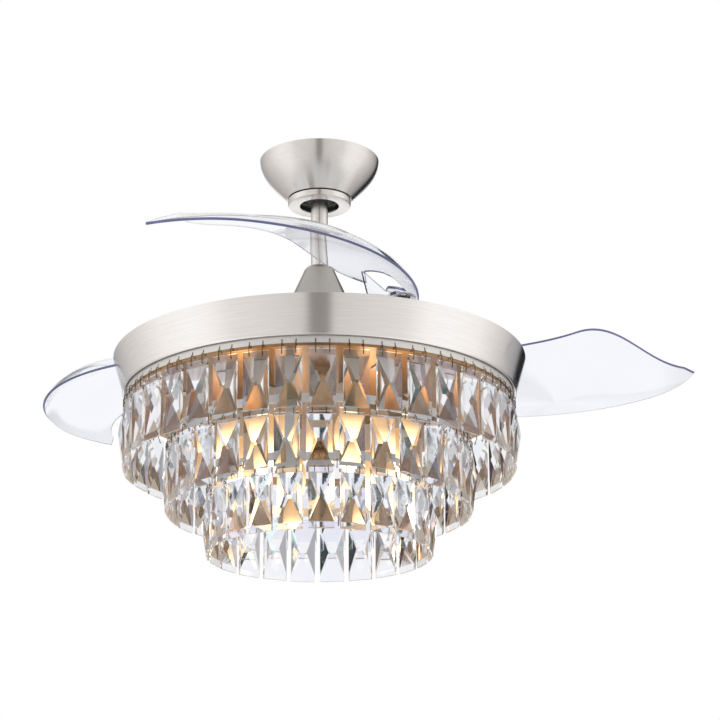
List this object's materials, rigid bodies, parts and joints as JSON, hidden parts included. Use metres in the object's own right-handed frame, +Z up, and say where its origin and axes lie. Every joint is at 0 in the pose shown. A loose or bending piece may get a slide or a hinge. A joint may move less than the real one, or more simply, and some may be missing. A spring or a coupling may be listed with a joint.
{
  "type": "retractable blade ceiling fan",
  "caption": "Ceiling fan on a downrod with folding clear blades over a conical metal drum, from which rings of cut crystals hang around warm lamps.",
  "frame": {"origin": "centre of the ceiling bracket's flat top face, on the fan's vertical axis, at the ceiling plane", "axes": "+Z up along the downrod and the rotor axis; -Y faces the picture's camera; +X is to its right"},
  "size_m": [0.8403, 0.8386, 0.516],
  "materials": {
    "brushed_nickel": "brushed nickel, satin",
    "plain_steel": "plain zinc-plated steel",
    "cast_metal": "cast, bead-blasted",
    "painted_sheet": "pale powder coat",
    "dark_polymer": "matte moulded",
    "pale_polymer": "matte moulded",
    "copper_winding": "varnished copper winding",
    "clear_acrylic": "clear polished acrylic, faint blue at its edges",
    "cut_crystal": "clear cut crystal glass, hung on thin metal hooks from a sheet metal ring",
    "lit_bulb": "lit warm white bulb"
  },
  "bodies": {
    "ceiling_mount": {"hanger_bracket": "plain_steel", "canopy": "brushed_nickel", "canopy_ring": "brushed_nickel", "canopy_screw_1": "plain_steel", "canopy_screw_2": "plain_steel"},
    "hanging_body": {"hanger_ball": "dark_polymer", "hanger_pin": "plain_steel", "downrod": "brushed_nickel", "coupling": "cast_metal", "coupling_pin_upper": "plain_steel", "coupling_pin_lower": "plain_steel", "coupling_cover": "brushed_nickel", "motor_shaft": "plain_steel", "stator": "copper_winding", "bearing_upper": "plain_steel", "bearing_lower": "plain_steel", "light_pan": "painted_sheet", "pan_nut": "plain_steel", "receiver_box": "dark_polymer", "drum_band": "brushed_nickel", "drum_shelf": "plain_steel", "drum_screw_1": "plain_steel", "drum_screw_2": "plain_steel", "drum_screw_3": "plain_steel", "crystal_tier_1": "cut_crystal", "crystal_tier_1_b": "cut_crystal", "crystal_tier_1_c": "cut_crystal", "crystal_tier_2": "cut_crystal", "crystal_tier_3": "cut_crystal", "lamp_holder_1": "pale_polymer", "lamp_holder_2": "pale_polymer", "lamp_holder_3": "pale_polymer", "lamp_holder_4": "pale_polymer", "lamp_holder_5": "pale_polymer", "lamp_holder_6": "pale_polymer", "bulb_1": "lit_bulb", "bulb_2": "lit_bulb", "bulb_3": "lit_bulb", "bulb_4": "lit_bulb", "bulb_5": "lit_bulb", "bulb_6": "lit_bulb"},
    "rotor": {"rotor_housing": "cast_metal", "rotor_cover": "cast_metal", "blade_carrier": "plain_steel", "pivot_pin_1": "plain_steel", "pivot_pin_2": "plain_steel", "pivot_pin_3": "plain_steel"},
    "sync": {"sync_ring": "plain_steel"},
    "blade_unit_1": {"blade_1": "clear_acrylic", "blade_gear_1": "dark_polymer"},
    "blade_unit_2": {"blade_2": "clear_acrylic", "blade_gear_2": "dark_polymer"},
    "blade_unit_3": {"blade_3": "clear_acrylic", "blade_gear_3": "dark_polymer"}
  },
  "joints": [
    {"name": "ball_tilt", "type": "hinge", "parent": "ceiling_mount", "child": "hanging_body", "pos_m": [0, 0, -0.034], "axis": [0, 1, 0], "range_deg": [-15, 15]},
    {"name": "rotor_spin", "type": "hinge", "parent": "hanging_body", "child": "rotor", "pos_m": [0, 0, -0.275], "axis": [0, 0, 1], "continuous": true},
    {"name": "sync_turn", "type": "hinge", "parent": "rotor", "child": "sync", "pos_m": [0, 0, -0.275], "axis": [0, 0, 1], "range_deg": [-1.3, 8.3]},
    {"name": "blade_fold_1", "type": "hinge", "parent": "rotor", "child": "blade_unit_1", "pos_m": [0.13356, 0.18725, -0.271], "axis": [0, 0, 1], "range_deg": [-66.2, 10]},
    {"name": "blade_fold_2", "type": "hinge", "parent": "rotor", "child": "blade_unit_2", "pos_m": [-0.22894, 0.02204, -0.271], "axis": [0, 0, 1], "range_deg": [-66.2, 10]},
    {"name": "blade_fold_3", "type": "hinge", "parent": "rotor", "child": "blade_unit_3", "pos_m": [0.09538, -0.20929, -0.271], "axis": [0, 0, 1], "range_deg": [-66.2, 10]}
  ],
  "couplings": [
    {"joint": "blade_fold_2", "follows": "blade_fold_1", "ratio": 1},
    {"joint": "blade_fold_3", "follows": "blade_fold_1", "ratio": 1},
    {"joint": "sync_turn", "follows": "blade_fold_1", "ratio": -0.12195}
  ]
}
